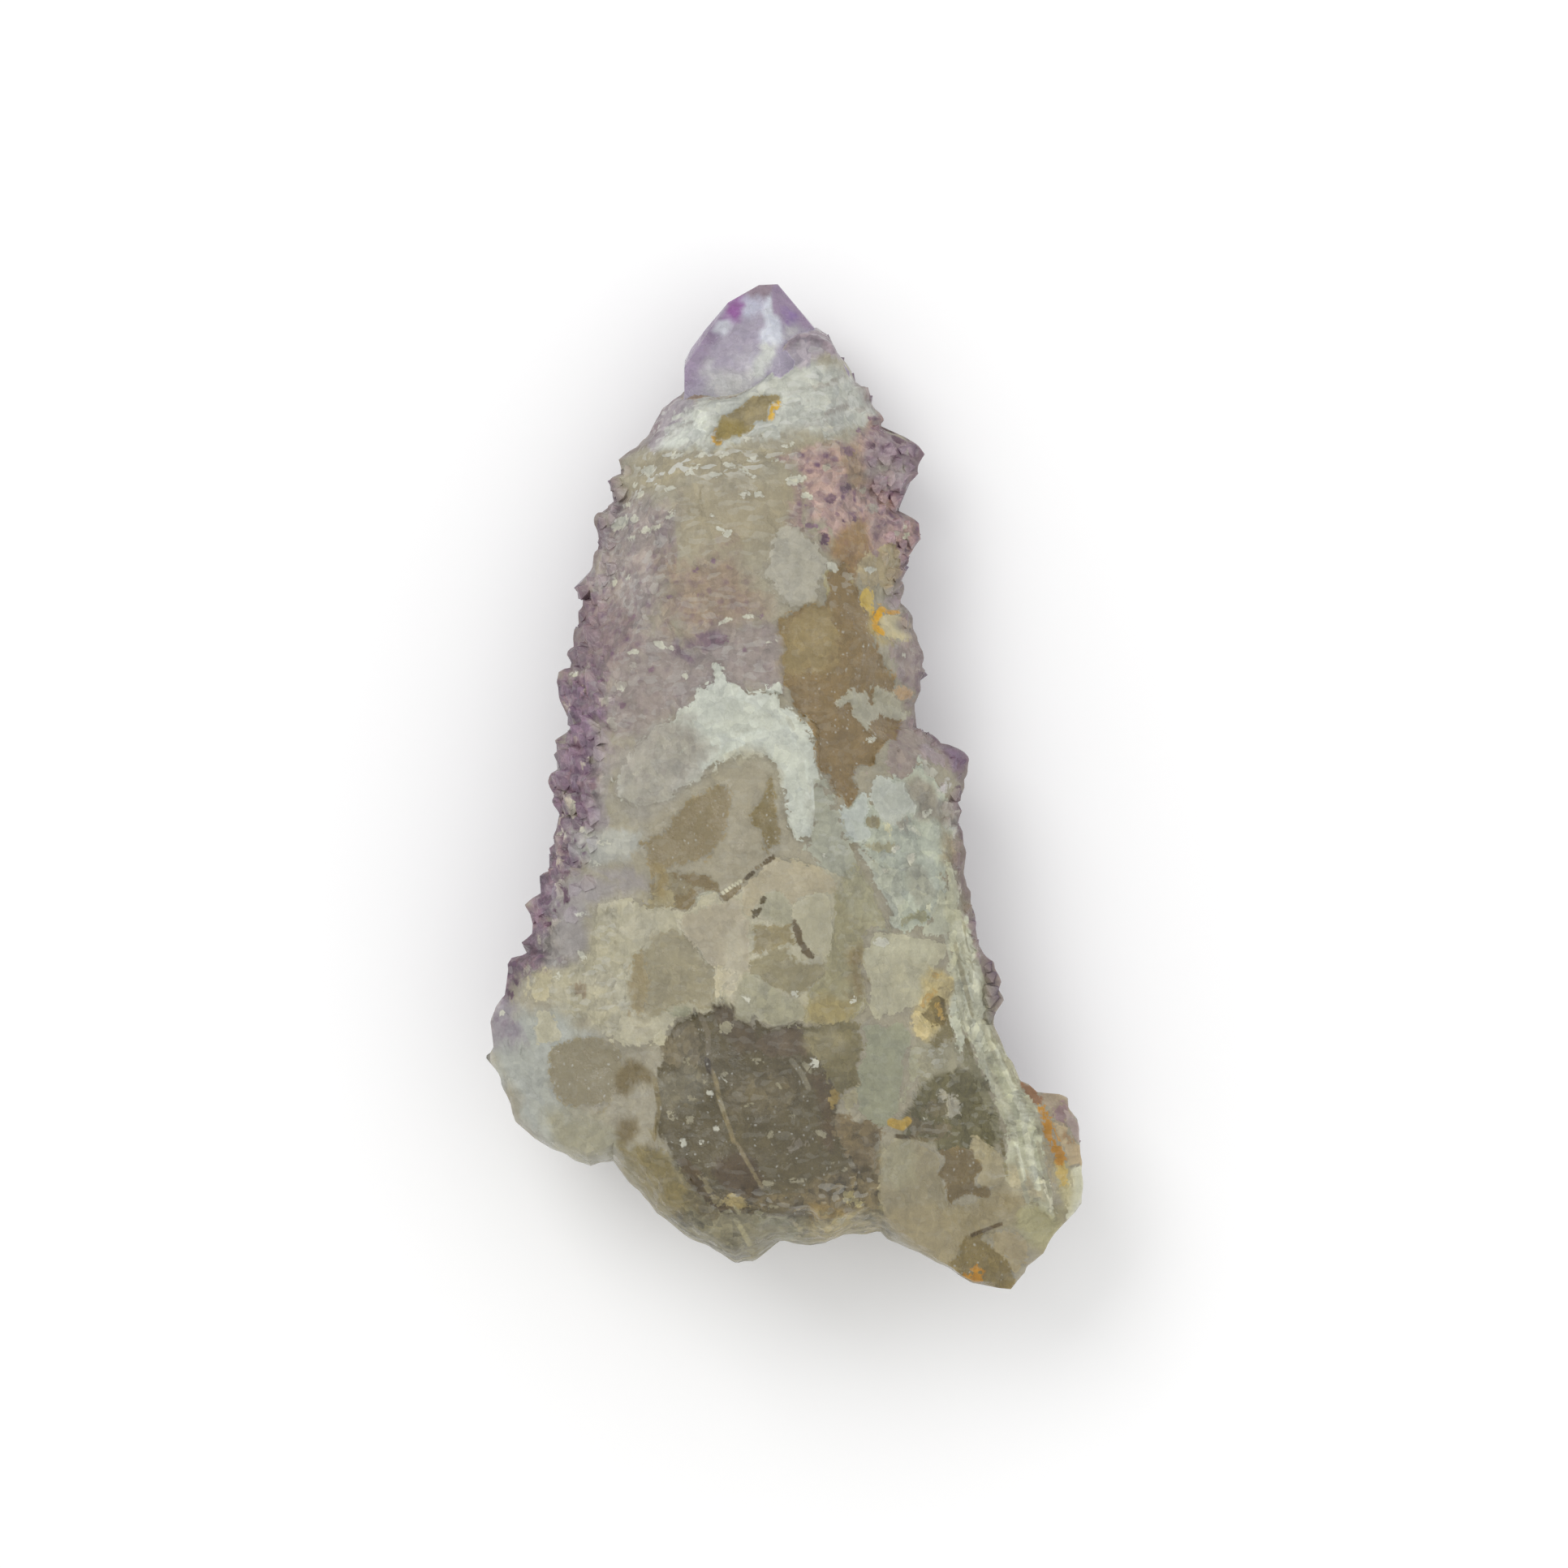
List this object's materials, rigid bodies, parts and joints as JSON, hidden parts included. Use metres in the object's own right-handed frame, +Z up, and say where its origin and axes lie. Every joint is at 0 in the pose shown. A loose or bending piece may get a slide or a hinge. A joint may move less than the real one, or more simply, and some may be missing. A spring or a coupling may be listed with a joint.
{
  "type": "cactus quartz cluster",
  "caption": "Cactus quartz (spirit quartz) cluster lying on its back, a tapering host crystal with pale lilac termination, broken face up and an amethyst druse on its sides",
  "frame": {"origin": "the middle of the bounding box's length and width, on the surface that the cluster lies on", "axes": "+Y towards the termination, +X to the right of the broken face seen from above, +Z up out of the broken face"},
  "size_m": [0.0444, 0.0746, 0.023],
  "materials": {
    "amethyst_quartz": "natural crystal"
  },
  "bodies": {
    "root": {"quartz_cluster": "amethyst_quartz"}
  },
  "joints": []
}
